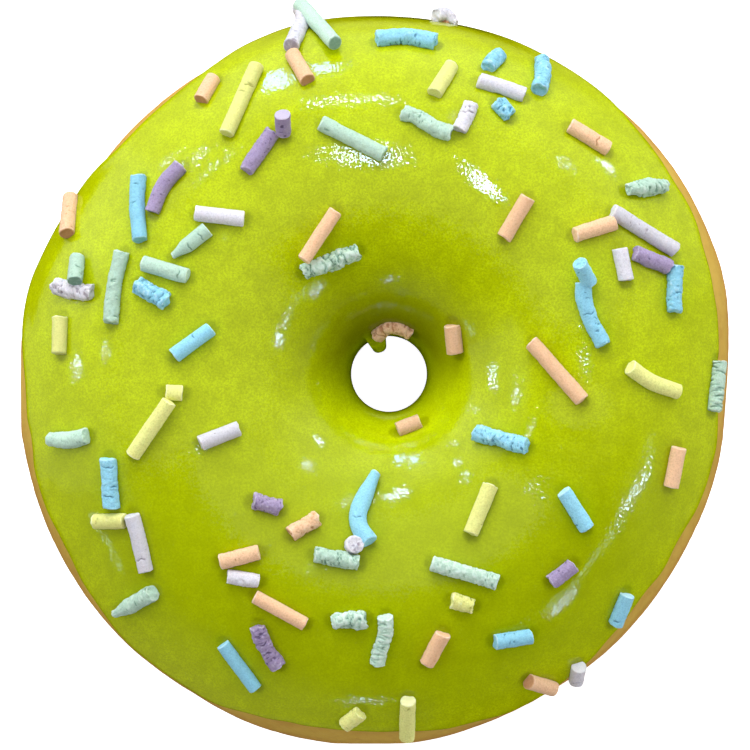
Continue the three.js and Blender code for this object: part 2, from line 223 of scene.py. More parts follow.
# Painted light for the near and right walls of the hole.
ICING_HOLE_LIGHT = (232, 248, 8)
# Painted shade low on the outer sides.
ICING_LOW_SHADE = (158, 156, 4)
# Painted shade in the hole.
ICING_HOLE_SHADE = (112, 108, 0)
ICING_SHADE = (92, 100, 0)
CRUST_BESIDE_ICING = (214, 176, 80)
CRUST_WAIST = (210, 160, 74)
CRUST_BELLY = (188, 132, 58)
CRUST_SOLE = (160, 104, 46)
# Painted shade for the pores and the wrinkles' hollows.
CRUST_HOLLOW_SHADE = (120, 70, 28)

# Of each kind of sprinkle: its skin, and the painted shade for its pits and cracks.
SPRINKLE_COLOURS = {
    "mint": ((194, 222, 203), (112, 150, 126)),
    "blue": ((154, 215, 238), (70, 130, 160)),
    "peach": ((246, 201, 161), (190, 130, 80)),
    "yellow": ((238, 237, 148), (165, 165, 70)),
    "lilac": ((225, 221, 229), (150, 138, 150)),
    "purple": ((170, 152, 187), (92, 72, 108)),
}


# ---- Noise ----

_draw = np.random.default_rng(RANDOM_SEED)
LATTICE = 256
SHUFFLE = _draw.permutation(LATTICE)
HEIGHTS = _draw.uniform(-1, 1, LATTICE)

# Offsets that make one noise unlike another over the same points.
LAYER_OFFSET, AXIS_OFFSET = 31.7, 50
PORES_OFFSET, WAVES_OFFSET = 90, 50
PATCHES_OFFSET, LUMPS_OFFSET, NICKS_OFFSET, ENDS_OFFSET = 80, 23, 7, 3


def noise(points, size):
    """Smooth noise from -1 to 1 over points in space, with swells of about that size."""
    place = points / size
    cell = np.floor(place).astype(int)
    share = place - cell
    share = share * share * share * (share * (share * 6 - 15) + 10)
    total = 0
    for corner in np.ndindex(2, 2, 2):
        x, y, z = (cell[..., axis] + corner[axis] for axis in range(3))
        key = SHUFFLE[(SHUFFLE[(SHUFFLE[x % LATTICE] + y) % LATTICE] + z) % LATTICE]
        weight = 1
        for axis in range(3):
            weight = weight * (share[..., axis] if corner[axis] else 1 - share[..., axis])
        total = total + weight * HEIGHTS[key]
    return total


def layered(points, size, layers=2):
    """Noise with finer noise on it, each layer half the size and half the height of the last."""
    total = 0
    for layer in range(layers):
        total = total + noise(points + LAYER_OFFSET * layer, size / 2**layer) / 2**layer
    return total


def smoothstep(value, start, end):
    """A smooth step of a value, from 0 at its start to 1 at its end."""
    share = np.clip((value - start) / (end - start), 0, 1)
    return share * share * (3 - 2 * share)


# ---- The ring's surface ----

HALVINGS = 40  # of a range of climbs, to find the point above a place


def between(a, b, c, d, t):
    """The value at a share of the way from b to c, on a smooth curve that comes from a and goes on to d."""
    return b + 0.5 * t * (c - a + t * (2 * a - 5 * b + 4 * c - d + t * (3 * (b - c) + d - a)))


def around(stations, turn):
    """A value between stations that are evenly spaced round the ring, on a smooth closed curve."""
    values = np.array(stations, float)
    count = len(values)
    place = np.asarray(turn) / TURN * count % count
    first = np.floor(place).astype(int)
    return between(*(values[(first + step) % count] for step in (-1, 0, 1, 2)), place - first)


def turned_from(middle, angle):
    """How far an angle is turned from a middle one, from minus half a turn to half a turn."""
    return (angle - middle + math.pi) % TURN - math.pi


def dough_radius(turn):
    """The crust's outer radius: the whole outline where the crust shows there, less where icing covers it."""
    bare = smoothstep(around(ICING_EDGES, turn), *BARE)
    return around(RIM_RADII, turn) - ICING_ON_SIDES * (1 - bare)


def full_circle(climb):
    """How far across and up, from -1 to 1, a squared circle with a rounder top is at an angle."""
    c, s = np.cos(climb), np.sin(climb)
    across, up = np.sign(c) * np.abs(c) ** (2 / FULLNESS), np.sign(s) * np.abs(s) ** (2 / FULLNESS)
    return across, np.where(up > 0, up - CREST * across**2 * (1 - across**2), up)


def settle(z):
    """Lets what would hang below the table settle onto it."""
    return np.where(z >= SETTLED, z, np.where(z <= -SETTLED, 0, (z + SETTLED) ** 2 / (4 * SETTLED)))


def skin(turn, climb, coat, swell=0.0):
    """Points of the ring's surface, at a turn round the ring and a climb round its section.

    The climb is 0 at the outline, a quarter turn at the crown and a half turn in the hole. The crust is at
    coat 0 and the icing's outer face at coat 1. A swell stands that many millimetres out of either.
    """
    across, up = full_circle(climb)
    out = np.stack([np.cos(turn), np.sin(turn)], -1)
    inner = out * (HOLE_RADIUS + ICING_ON_SIDES) + HOLE_MIDDLE
    outer = out * dough_radius(turn)[..., None] + RING_MIDDLE
    plan = inner + (outer - inner) * ((1 + across) / 2)[..., None]
    plan = plan + out * (across * (coat * ICING_ON_SIDES + swell))[..., None]
    rise = np.where(up > 0, CROWN_RISE + coat * ICING_ON_TOP, BELLY_DROP + coat * ICING_ON_SIDES)
    return np.concatenate([plan, settle(WAIST_HEIGHT + up * (rise + swell))[..., None]], -1)


def point_above(x, y, swell):
    """The point of the icing's upper side, or of a surface that far outside it, over a point of the plan."""
    low, high = 0.0, math.pi
    for _ in range(HALVINGS):
        climb = (low + high) / 2
        share = (1 + float(full_circle(climb)[0])) / 2
        middle = HOLE_MIDDLE + (RING_MIDDLE - HOLE_MIDDLE) * share
        turn = np.array(math.atan2(y - middle[1], x - middle[0]))
        here = skin(turn, np.array(climb), 1, swell)
        if np.hypot(*(here[:2] - middle)) > math.hypot(x - middle[0], y - middle[1]):
            low = climb
        else:
            high = climb
    return here


def slope_at(x, y, swell, step=0.2):
    """How steeply that surface falls, as the change in height for a step along x and along y."""
    slope = np.array([
        point_above(x + step, y, swell)[2] - point_above(x - step, y, swell)[2],
        point_above(x, y + step, swell)[2] - point_above(x, y - step, swell)[2],
    ]) / (2 * step)
    steepest = math.tan(math.radians(STEEPEST))
    return slope * min(1, steepest / max(np.hypot(*slope), 1e-9))


# ---- Meshes ----

def mesh_object(name, points, faces, attributes):
    """A smooth mesh from points in millimetres, kept inside the CAD's box, with values for each point."""
    points = np.clip(points * MM, cad_low, cad_high)
    mesh = bpy.data.meshes.new(name)
    mesh.from_pydata(points.tolist(), [], faces)
    mesh.shade_smooth()
    for key, values in attributes.items():
        mesh.attributes.new(key, "FLOAT", "POINT").data.foreach_set("value", np.asarray(values, np.float32))
    made = bpy.data.objects.new(name, mesh)
    bpy.context.scene.collection.objects.link(made)
    return made


def ring_faces(rows, columns):
    """The faces of a closed ring, from points that run round each section, section after section."""
    section, spot = np.meshgrid(np.arange(columns), np.arange(rows), indexing="ij")
    onward, after = (section + 1) % columns, (spot + 1) % rows
    corners = [section * rows + spot, onward * rows + spot, onward * rows + after, section * rows + after]
    return np.stack([corner.ravel() for corner in corners], -1).tolist()


def section_grid(columns, climbs):
    """Turn and climb for every point of a ring. climbs has a row for each section, or is the same for all."""
    turn = TURN * np.arange(columns) / columns
    climbs = np.broadcast_to(climbs, (columns, np.shape(climbs)[-1]))
    return np.broadcast_to(turn[:, None], climbs.shape), climbs


# ---- Crust ----

# The crust's relief, in millimetres: broad waves, flat wrinkles, and pores.
BROAD_SIZE, BROAD_HEIGHT = 6, 0.05
WRINKLE_SIZE, WRINKLE_HEIGHT, WRINKLE_SQUEEZE, WRINKLE_LAYERS = 1.1, 0.025, (1, 1, 1.8), 3
WRINKLE_SHADE = 3  # how much painted shade they get for each millimetre of depth
PORE_SIZE, PORE_DEPTH, PORE_NOISE = 0.8, 0.14, (0.45, 0.8)
PORES_BELOW = (17, 12)  # the heights where pores begin and where they are full


def make_crust():
    """The fried dough, whole: fine wrinkles, and pores on its lower half."""
    turn, climb = section_grid(CRUST_COLUMNS, TURN * np.arange(CRUST_ROWS) / CRUST_ROWS)
    smooth = skin(turn, climb, 0)
    wrinkles = layered(smooth * WRINKLE_SQUEEZE, WRINKLE_SIZE, WRINKLE_LAYERS) * WRINKLE_HEIGHT
    wrinkles = wrinkles + layered(smooth, BROAD_SIZE) * BROAD_HEIGHT
    pores = smoothstep(noise(smooth + PORES_OFFSET, PORE_SIZE), *PORE_NOISE)
    pores = pores * smoothstep(smooth[..., 2], *PORES_BELOW)
    points = skin(turn, climb, 0, wrinkles - PORE_DEPTH * pores)
    # Painted shade in the pores and the wrinkles' hollows.
    hollow_shade = np.clip(pores - WRINKLE_SHADE * wrinkles, 0, 1)
    faces = ring_faces(CRUST_ROWS, CRUST_COLUMNS)
    return mesh_object("crust", points.reshape(-1, 3), faces, {"pores": hollow_shade.ravel()})


# ---- Icing ----

SECTION_SPEED = 18.6  # millimetres along the section for a radian of climb, near enough
CROWDING = 0.09  # how much closer together the rows are near the icing's edges
EDGE_RADIUS, EDGE_RIPPLE_SIZE, EDGE_RIPPLE = 44, 4, 1.4  # the outer edge's small ripple, the last in degrees

# How the icing lies over the crust, as shares of its thickness, and in millimetres from its edge.
BEAD = 1.3  # how far from its edge it reaches its full thickness, on a quarter circle
FOOT = -0.12  # where that quarter circle starts, just under the crust
LIP, LIP_PLACE, LIP_REACH = 0.12, 1.7, 1.1  # the low swell behind the edge
EDGE_DEPTH, BACK_DEPTH = -0.25, -0.3  # its first and last rows, and its hidden back

# The icing's soft waves, in millimetres, and how much of them is left on its sides.
WAVE_SIZE, WAVE_HEIGHT = 12, 0.08
RIPPLE_SIZE, RIPPLE_HEIGHT = 3.2, 0.02
WAVES_BEGIN = 4  # how far from its edge they have their full height
WAVES_ON_SIDES, SIDES_END = 0.35, 0.5

DENT = 0.03  # how far, in millimetres, the icing sinks where a sprinkle lies on it
DENT_REACH = 0.2  # and how far beside the sprinkle
FARTHEST = 9  # beyond this a sprinkle has no effect at all
EDGE_SHADE, EDGE_SHADE_REACH = 0.9, 0.6  # of the shade beside a sprinkle, what the icing's thin edge has

# How dull the icing has become. First the sectors of the ring where it is all dull: a middle turn, a turn
# to each side, a middle radius and a reach to each side, and how softly each begins.
CREST_MIDDLE = (HOLE_MIDDLE + RING_MIDDLE) / 2
DULL_SECTORS = [(78, 62, 27, 5.5, 4.5), (168, 32, 23.5, 9, 5), (262, 60, 22, 4, 3)]
# Then the places that differ from what is round them: middle, half length and half width in millimetres,
# turn in degrees, and how dull they are. 0 is all wet, at a third only specks shine, and at 1 nothing does.
SPECKLED_PLACES = [
    ((-1.4, 27.0), 9.5, 3.2, -5, 0.36),
    ((13.5, 23.1), 7.4, 1.7, -47, 0.22),
    ((-3.0, 34.1), 6.0, 2.0, 0, 0.36),
    ((32.4, -15.2), 5.5, 3.0, 63, 0.36),
    ((25.3, -4.2), 5.0, 3.5, 0, 1.0),
]
PLACE_EDGE = (1.2, 0.2)  # how far from its middle, as a share of its half width, a place begins and is full


def beside_sprinkles(points):
    """How near each point is to the sprinkles that lie on the icing: 1 under them, 0 away from them."""
    nearness = np.zeros(points.shape[:-1])
    for row in SPRINKLES:
        line, radius, _ = sprinkle_line(row)
        for start, end in zip(line, line[1:]):
            away = points - start
            share = np.clip(away @ (end - start) / ((end - start) @ (end - start)), 0, 1)
            gap = np.linalg.norm(away - share[..., None] * (end - start), axis=-1) - radius
            nearness = np.maximum(nearness, np.exp(-(np.clip(gap, 0, FARTHEST) / DENT_REACH) ** 2))
    return nearness


def dullness(plan):
    """How much of its wet gloss the icing has lost at each point of the plan, from 0 to 1."""
    away = plan - CREST_MIDDLE
    radius, turn = np.hypot(*np.moveaxis(away, -1, 0)), np.arctan2(away[..., 1], away[..., 0])
    dull = np.zeros_like(radius)
    for middle_turn, to_side, middle, reach, soft in DULL_SECTORS:
        aside = np.abs(turned_from(math.radians(middle_turn), turn)) - math.radians(to_side)
        beyond = np.abs(radius - middle) - reach
        sector = smoothstep(aside * radius, soft, -soft) * smoothstep(beyond, soft, -soft)
        dull = np.maximum(dull, sector)
    for middle, half_length, half_width, place_turn, still in SPECKLED_PLACES:
        c, s = math.cos(math.radians(place_turn)), math.sin(math.radians(place_turn))
        along = (plan - middle) @ np.array([c, s]) / half_length
        across = (plan - middle) @ np.array([-s, c]) / half_width
        dull = dull + (still - dull) * smoothstep(np.hypot(along, across), *PLACE_EDGE)
    return dull


def icing_edges(turn):
    """The climb of the icing's outer edge and of its edge inside the hole."""
    round_ring = np.stack([np.cos(turn) * EDGE_RADIUS, np.sin(turn) * EDGE_RADIUS, 0 * turn], -1)
    first = around(ICING_EDGES, turn) + noise(round_ring, EDGE_RIPPLE_SIZE) * EDGE_RIPPLE
    last = HOLE_EDGE["middle"] + HOLE_EDGE["wave"] * np.sin(HOLE_EDGE["waves"] * turn + HOLE_EDGE["start"])
    return np.radians(first), np.radians(last)


def coat_over(from_edge):
    """How much of the icing's thickness lies over the crust, from its first row to the last of its back."""
    near = np.clip(1 - from_edge / BEAD, 0, 1)
    lip = LIP * np.exp(-((from_edge - LIP_PLACE) / LIP_REACH) ** 2)
    coat = FOOT + (1 - FOOT) * np.sqrt(1 - near**2) + lip
    coat[:, ICING_ROWS:] = BACK_DEPTH
    coat[:, [0, ICING_ROWS - 1]] = EDGE_DEPTH
    return coat


def icing_waves(smooth, climb, from_edge):
    """The icing's soft waves, which die out at its edges and are lower on its sides."""
    waves = layered(smooth + WAVES_OFFSET, WAVE_SIZE) * WAVE_HEIGHT
    waves = waves + noise(smooth, RIPPLE_SIZE) * RIPPLE_HEIGHT
    on_top = smoothstep(np.sin(climb), 0, SIDES_END)
    return waves * smoothstep(from_edge, 0, WAVES_BEGIN) * (WAVES_ON_SIDES + (1 - WAVES_ON_SIDES) * on_top)


def hanging_drop(turn, climb):
    """How far the drop that hangs in the hole swells out of the icing."""
    drop = 0
    for _ in range(DROP["rounds"]):  # its width is measured as far in as the last round reached
        aside = np.abs((turn - math.radians(DROP["turn"])) * (HOLE_RADIUS - drop) / DROP["width"])
        drop = DROP["depth"] * np.sqrt(np.clip(1 - aside ** DROP["squareness"], 0, 1))
    above = np.abs((climb - math.radians(DROP["climb"])) / math.radians(DROP["height"]))
    return drop * np.exp(-above ** DROP["fall"])


def make_icing():
    """The coat: its outer face from the side into the hole, rounded at both edges, and its back."""
    first, last = (edge[:, None] for edge in icing_edges(TURN * np.arange(ICING_COLUMNS) / ICING_COLUMNS))
    share = np.linspace(0, 1, ICING_ROWS)
    front = first + (last - first) * (share - CROWDING * np.sin(TURN * share))
    back = last + (first - last) * np.linspace(0, 1, ICING_BACK_ROWS + 2)[1:-1]
    turn, climb = section_grid(ICING_COLUMNS, np.concatenate([front, back], 1))
    from_edge = np.minimum(climb - first, last - climb) * SECTION_SPEED

    smooth = skin(turn, climb, 1)
    # Nearness to the sprinkles: the icing sinks there, and there it gets painted shade.
    pressed_and_shaded = beside_sprinkles(smooth)
    shade = np.maximum(pressed_and_shaded, EDGE_SHADE * np.exp(-(from_edge / EDGE_SHADE_REACH) ** 2))
    relief = icing_waves(smooth, climb, from_edge) + hanging_drop(turn, climb) - DENT * pressed_and_shaded
    relief[:, ICING_ROWS:] = 0
    points = skin(turn, climb, coat_over(from_edge), relief)
    faces = ring_faces(ICING_ROWS + ICING_BACK_ROWS, ICING_COLUMNS)
    values = {"shade": shade.ravel(), "dull": dullness(smooth[..., :2]).ravel()}
    return mesh_object("icing_coat", points.reshape(-1, 3), faces, values)


# ---- Sprinkles ----

# The rows of points on a sprinkle's cut end: their share of its radius, and their place along it.
CAP_ROWS = [(0.3, 0), (0.58, 0), (0.8, 0.005), (0.92, 0.03), (0.98, 0.08)]
RIM = 0.16  # how far along its side its cut edge is rounded
LIT_WORN_RIM, WORN_FROM = 0.45, 0.9  # how much lighter that edge is, from wear and painted highlight, and from which share of the radius
FEWEST_RINGS = 6

# The relief of a sprinkle's skin, in millimetres. Of two numbers, a plain rod has the first, and a trait at
# its fullest adds the second.
BEND_SIZE, BEND = 0.9, 0.25  # of folds, lumps and nicks
PATCH_SIZE, PATCH_SHAPE, PATCH_GROWTH, PATCH_NOISE = 1.3, (1, 0.4, 0.4), 2.2, (0.35, 1.1)  # of nicks
SWELL_SIZE, SWELL_SHAPE, SWELLS = 1.4, (0.8, 1, 1), (0.03, 0.17)  # as shares of the radius
CRUMPLING = 1.5  # the power of rough by which a sprinkle folds and lumps
FOLD_SIZE, FOLD_HEIGHT = 0.5, 0.12
LUMP_SIZE, LUMP_SHAPE, LUMP_HEIGHT = 0.85, (1, 0.75, 0.75), 0.5  # rounded, with creases between them
LUMP_LEVEL, LUMP_TOP, CREASE = 0.25, 0.45, 0.14
STROKE_SIZE, STROKE_HEIGHT = 0.22, 0.012
GRAIN_SIZE, GRAIN = 0.28, (0.022, 0.04)
NICK_SIZE, NICK_START, NICK_END, NICK_DEPTH = 0.2, (0.62, -0.3), (0.9, -0.25), (0.08, 0.1)
SANDY_NICKS = 0.6  # how much of rough's nicks sandy gives
GROOVE_DEPTH = (0.15, 0.05)
ACROSS, ALONG = (1, 0.38, 0.38), (0.15, 1, 1)  # folds and nicks run round a sprinkle, and strokes along it

# Its ends: the share of its length over which its girth changes, how uneven that is, and their cuts.
TAPER, UNEVEN = 0.45, 0.03
CUT_SLANT, CUT_SHARE = (0.11, 0.175), (0.2, 1)
BREAK_SIZE, BREAK, DOME = 0.7, (0.07, 0.28), 0.1
END_REACH = 0.5

# Cracks across its upper side, faced and spread in degrees, and wrinkles all along it, spread in radians.
CRACK_CHANCE, CRACK_PLACES = 0.15, (0.15, 0.85)
CRACK_FACED, CRACK_SPREAD, CRACK_SLANT = (50, 130), (15, 50), 0.25
CRACK_WAVES, CRACK_WIDTH = [(3, 0.09), (7, 0.07)], (0.06, 0.11)
CRACK_FADE = 0.25
RING_START, RING_GAP, RING_END, RING_WIDTH = 0.4, 0.5, 0.3, 0.11
RING_WANDER, RING_WAVE, RING_FACED = 0.15, 0.14, (20, 160)
RING_SPREAD, RING_FADE, RING_DEPTH = (0.4, 1.4), 0.3, (0.5, 1)

BUMP_LIGHT, GRAIN_LIGHT = 3, 5  # how much painted highlight what stands out gets, for each millimetre
FAR_APART = 100  # the sprinkles are shifted this far, at most, in the noise


def sprinkle_line(row):
    """The middle line of a sprinkle, in the CAD's place: flat on the icing at its middle, and straight on."""
    *places, traits = row[1:]
    plan = np.array(places, float) * GRID + RING_MIDDLE
    radius = traits.get("width", 2 * SPRINKLE_RADIUS) / 2
    swell = radius - SPRINKLE_SINK
    middle = (plan[0] + plan[-1]) / 2
    seat = point_above(*middle, swell)
    slope = slope_at(*middle, swell) * (1 - traits.get("level", 0))
    share = np.hypot(*(plan - plan[0]).T) / np.hypot(*(plan[-1] - plan[0]))
    lift = np.interp(share, (0, 1), traits.get("lift", (0, 0)))
    away = plan - middle
    return np.column_stack([away, away @ slope + lift]) + seat, radius, traits


def along_curve(places, stations, values):
    """The values of a curve, which has one for each of its stations, at places between them."""
    return np.column_stack([np.interp(places, stations, values[:, axis]) for axis in range(3)])


def drawn_out(line, step=0.1, parts=12):
    """Points close together on a smooth curve through the line's points, and how far along it they are."""
    if len(line) > 2:
        padded = np.vstack([2 * line[0] - line[1], line, 2 * line[-1] - line[-2]])
        t = np.linspace(0, 1, parts, endpoint=False)[:, None]
        stretches = [between(*four, t) for four in zip(padded, padded[1:], padded[2:], padded[3:])]
        line = np.vstack(stretches + [line[-1:]])
    lengths = np.concatenate([[0], np.cumsum(np.linalg.norm(np.diff(line, axis=0), axis=1))])
    places = np.linspace(0, lengths[-1], max(3, round(lengths[-1] / step) + 1))
    return along_curve(places, lengths, line), places


def grown(pair, trait):
    """What a plain rod has and what a trait adds to it."""
    return pair[0] + pair[1] * trait


def across_grooves(place, angle, traits, length, draw):
    """How deep, from 0 to 1, the cracks and wrinkles that run across a sprinkle cut at each point."""
    groove = np.zeros_like(place)
    for _ in range(traits.get("cracks", int(draw.random() < CRACK_CHANCE))):
        spot = length * draw.uniform(*CRACK_PLACES)
        faced = math.radians(draw.uniform(*traits.get("faced", CRACK_FACED)))
        spread = math.radians(draw.uniform(*CRACK_SPREAD))
        slant = draw.uniform(-CRACK_SLANT, CRACK_SLANT)
        wander = sum(height * np.sin(waves * angle + draw.uniform(0, TURN)) for waves, height in CRACK_WAVES)
        gap = (place - spot - slant * np.cos(angle) - wander) / draw.uniform(*CRACK_WIDTH)
        fade = smoothstep(spread - np.abs(turned_from(faced, angle)), -CRACK_FADE, CRACK_FADE)
        groove = np.maximum(groove, np.exp(-gap**2) * fade)
    if traits.get("rings"):
        for spot in np.arange(RING_START, length - RING_END, RING_GAP):
            wander = draw.uniform(-RING_WANDER, RING_WANDER)
            wander = wander + RING_WAVE * np.sin(angle * 2 + draw.uniform(0, TURN))
            aside = np.abs(turned_from(math.radians(draw.uniform(*RING_FACED)), angle))
            fade = smoothstep(draw.uniform(*RING_SPREAD) - aside, -RING_FADE, RING_FADE)
            gap = (place - spot - wander) / RING_WIDTH
            groove = np.maximum(groove, draw.uniform(*RING_DEPTH) * fade * np.exp(-gap**2))
    return groove


def rod_relief(local, radius, rough, sandy):
    """A sprinkle's swells, bumps and grain in millimetres, and how far, to 1, it has nicks and creases."""
    coarse = max(rough, sandy)
    crumpled = rough**CRUMPLING
    bent = local + BEND * np.stack([layered(local + AXIS_OFFSET * axis, BEND_SIZE) for axis in range(3)], -1)
    patches = noise(local * PATCH_SHAPE + PATCHES_OFFSET, PATCH_SIZE) + PATCH_GROWTH * coarse
    patches = smoothstep(patches, *PATCH_NOISE)
    swells = layered(local * SWELL_SHAPE, SWELL_SIZE) * grown(SWELLS, rough) * radius
    folds = FOLD_HEIGHT * patches * (1 - 2 * np.abs(noise(bent * ACROSS, FOLD_SIZE)))
    lumps = np.abs(noise(bent * LUMP_SHAPE + LUMPS_OFFSET, LUMP_SIZE))
    creases = smoothstep(lumps, CREASE, 0) * crumpled
    lumps = LUMP_HEIGHT * (np.minimum(lumps, LUMP_TOP) - LUMP_LEVEL)
    strokes = noise(local * ALONG, STROKE_SIZE) * STROKE_HEIGHT
    grain = layered(local, GRAIN_SIZE) * grown(GRAIN, coarse)
    pitted = max(rough, SANDY_NICKS * sandy)
    nicks = noise(bent * ACROSS + NICKS_OFFSET, NICK_SIZE)
    nicks = smoothstep(nicks, grown(NICK_START, pitted), grown(NICK_END, pitted)) * patches
    return swells, crumpled * (folds + lumps) + strokes + grain, grain, nicks, creases


def end_slip(local, reach, place, angle, radius, length, rough, draw):
    """How far each point slips along the sprinkle, so that its ends are slanted, broken and domed."""
    slip = np.zeros_like(place)
    for end, sign in ((0, 1), (length, -1)):
        cut = radius * reach * grown(CUT_SLANT, rough) * np.cos(angle - draw.uniform(0, TURN))
        cut = cut * draw.uniform(*CUT_SHARE)
        broken = layered(local + ENDS_OFFSET, BREAK_SIZE) * grown(BREAK, rough)
        domed = DOME * draw.uniform(0, 1) * (1 - reach**2)
        slip = slip + sign * (cut + broken + domed) * np.exp(-np.abs(place - end) / END_REACH)
    return slip


def rod_faces(rings):
    """The faces of a rod, from its rings of points and two more, the tips that close its ends."""
    ring, corner = np.meshgrid(np.arange(rings - 1), np.arange(ROD_SIDES), indexing="ij")
    after = (corner + 1) % ROD_SIDES
    here, onward = ring * ROD_SIDES, (ring + 1) * ROD_SIDES
    corners = [here + corner, here + after, onward + after, onward + corner]
    faces = np.stack([part.ravel() for part in corners], -1).tolist()
    last, tips = (rings - 1) * ROD_SIDES, rings * ROD_SIDES
    for corner in range(ROD_SIDES):
        after = (corner + 1) % ROD_SIDES
        faces.append([tips, after, corner])
        faces.append([tips + 1, last + corner, last + after])
    return faces


def make_rod(row, draw):
    """One sprinkle: a short extruded rod with cut ends, lumpy, pitted and cracked as its traits say."""
    line, radius, traits = sprinkle_line(row)
    curve, stations = drawn_out(line)
    length = stations[-1]
    rough, sandy = traits.get("rough", 0), traits.get("sandy", 0)

    cap_reach, cap_place = zip(*CAP_ROWS)
    side = np.linspace(RIM, length - RIM, max(FEWEST_RINGS, round(length / ROD_STEP)))
    reach = np.concatenate([cap_reach, np.ones_like(side), cap_reach[::-1]])[:, None]
    place = np.concatenate([cap_place, side, length - np.array(cap_place[::-1])])[:, None]
    angle = TURN * np.arange(ROD_SIDES)[None, :] / ROD_SIDES
    place, angle = np.broadcast_arrays(place, angle)
    local = np.stack([place, radius * reach * np.cos(angle), radius * reach * np.sin(angle)], -1)
    local = local + draw.uniform(-FAR_APART, FAR_APART, 3)

    swells, bumps, grain, nicks, creases = rod_relief(local, radius, rough, sandy)
    groove = across_grooves(place, angle, traits, length, draw)
    sunk = grown(NICK_DEPTH, rough) * nicks + grown(GROOVE_DEPTH, rough) * groove
    first = smoothstep(place, 0, TAPER * length)
    last = smoothstep(length - place, 0, TAPER * length)
    girth = (traits.get("first", 1) * (1 - first) + first) * (traits.get("last", 1) * (1 - last) + last)
    girth = girth * (1 + draw.uniform(-UNEVEN, UNEVEN) * (2 * place / length - 1))
    out = (reach * (radius * girth + swells + bumps - sunk))[..., None]
    slip = end_slip(local, reach, place, angle, radius, length, rough, draw)

    along = along_curve(place[:, 0], stations, np.gradient(curve, stations, axis=0))
    along /= np.linalg.norm(along, axis=1)[:, None]
    sideways = np.cross([0, 0, 1], along)
    sideways /= np.linalg.norm(sideways, axis=1)[:, None]
    over = np.cross(along, sideways)
    points = along_curve(place[:, 0], stations, curve)[:, None] + along[:, None] * slip[..., None]
    points = points + sideways[:, None] * out * np.cos(angle)[..., None]
    points = points + over[:, None] * out * np.sin(angle)[..., None]

    from_end = np.minimum(place, length - place)
    # Painted shade, or painted light, on the cut faces, by how they face the light.
    first_cap_shade, last_cap_shade = traits.get("cap_shade", (0, 0))
    cap_shade = np.where(place < RIM, first_cap_shade, 0) + np.where(place > length - RIM, last_cap_shade, 0)
    rim = LIT_WORN_RIM * ((reach > WORN_FROM) & (from_end <= RIM))
    # Painted shade in nicks, cracks and creases, painted highlight where bumps and grain stand out, and a
    # lighter rim that is worn and lit.
    shade_and_wear = np.maximum(np.maximum(nicks, groove), creases) - BUMP_LIGHT * bumps - GRAIN_LIGHT * grain
    shade_and_wear = np.clip(shade_and_wear + cap_shade - rim + traits.get("tone_shift", 0), -1, 1)

    flat = np.vstack([points.reshape(-1, 3), points[0].mean(0), points[-1].mean(0)])
    shade_and_wear = np.concatenate([shade_and_wear.ravel(), shade_and_wear[0, :1], shade_and_wear[-1, :1]])
    return flat, rod_faces(len(points)), shade_and_wear


def make_sprinkles(colour):
    """All the sprinkles of one colour as one mesh."""
    points, faces, shades_and_wear, tones = [], [], [], []
    count = 0
    for number, row in enumerate(SPRINKLES):
        if row[0] != colour:
            continue
        draw = np.random.default_rng([RANDOM_SEED, number])
        rod, its_faces, shade_and_wear = make_rod(row, draw)
        points.append(rod)
        faces.extend([[corner + count for corner in face] for face in its_faces])
        shades_and_wear.append(shade_and_wear)
        tones.append(np.full(len(rod), draw.uniform(-1, 1)))
        count += len(rod)
    attributes = {"shade_and_wear": np.concatenate(shades_and_wear), "tone": np.concatenate(tones)}
    return mesh_object("sprinkles_" + colour, np.vstack(points), faces, attributes)


# ---- Materials ----

def linear(colour):
    """A screen colour, 0 to 255, as Blender's own linear colour with full alpha."""
    shares = np.array(colour, float) / 255
    light = np.where(shares <= 0.04045, shares / 12.92, ((shares + 0.055) / 1.055) ** 2.4)
    return (*light.tolist(), 1)


